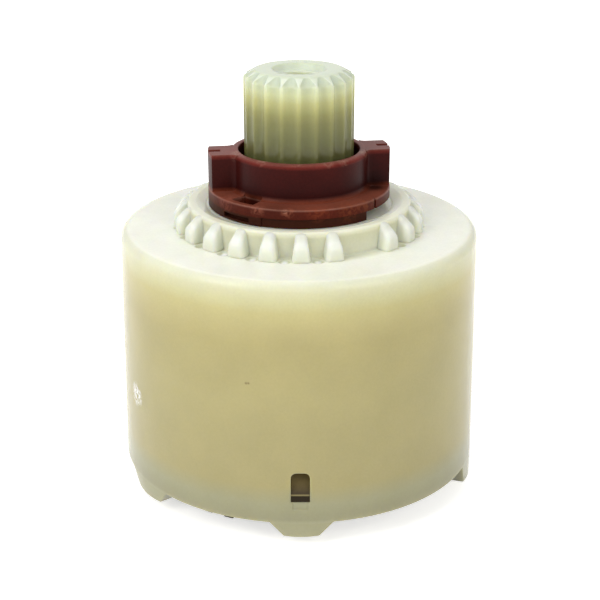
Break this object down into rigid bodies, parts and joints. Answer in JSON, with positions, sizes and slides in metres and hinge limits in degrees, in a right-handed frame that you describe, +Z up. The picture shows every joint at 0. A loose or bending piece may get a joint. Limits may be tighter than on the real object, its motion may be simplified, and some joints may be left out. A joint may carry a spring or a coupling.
{
  "type": "pressure balance cartridge",
  "caption": "Round plastic shower valve cartridge with a splined stem, a forked limit ring, a toothed boss on its rim and ported base.",
  "frame": {"origin": "on the stem axis, in the plane of the deepest locating tab's foot", "axes": "+Z up the stem towards the handle; -Y towards the front snap window; +X to the side of the hot port"},
  "size_m": [0.0484, 0.0484, 0.0564],
  "materials": {
    "housing_plastic": "natural translucent acetal, moulded",
    "stem_plastic": "pale green translucent moulded plastic",
    "ring_plastic": "red-brown moulded plastic",
    "base_plastic": "dark brown moulded plastic",
    "inner_plastic": "off-white moulded plastic",
    "carrier_plastic": "grey-blue moulded plastic",
    "ceramic": "lapped alumina ceramic",
    "seal_rubber": "black rubber",
    "sleeve_steel": "turned stainless steel",
    "spool_brass": "turned brass",
    "washer_plastic": "white low-friction plastic"
  },
  "bodies": {
    "housing": {"housing": "housing_plastic", "base": "base_plastic", "manifold": "inner_plastic", "manifold_oring": "seal_rubber", "disc_gasket": "seal_rubber", "fixed_disc": "ceramic", "spool_sleeve": "sleeve_steel", "sleeve_orings": "seal_rubber", "sleeve_plug_left": "inner_plastic", "sleeve_plug_right": "inner_plastic", "plug_oring_left": "seal_rubber", "plug_oring_right": "seal_rubber", "port_seal_hot": "seal_rubber", "port_seal_cold": "seal_rubber", "port_seal_outlet": "seal_rubber"},
    "stem": {"moving_disc": "ceramic", "disc_carrier": "carrier_plastic", "stem": "stem_plastic", "stem_oring_lower": "seal_rubber", "stem_oring_upper": "seal_rubber", "thrust_washer": "washer_plastic"},
    "limit_ring": {"limit_ring": "ring_plastic"},
    "balance_spool": {"balance_spool": "spool_brass"}
  },
  "joints": [
    {"name": "stem_turn", "type": "hinge", "parent": "housing", "child": "stem", "pos_m": [0, 0, 0.0363], "axis": [0, 0, 1], "range_deg": [0, 109.4]},
    {"name": "ring_lift", "type": "slide", "parent": "stem", "child": "limit_ring", "axis": [0, 0, 1], "range_m": [0, 0.02]},
    {"name": "spool_slide", "type": "slide", "parent": "housing", "child": "balance_spool", "axis": [1, 0, 0], "range_m": [-0.0015, 0.0015]}
  ]
}
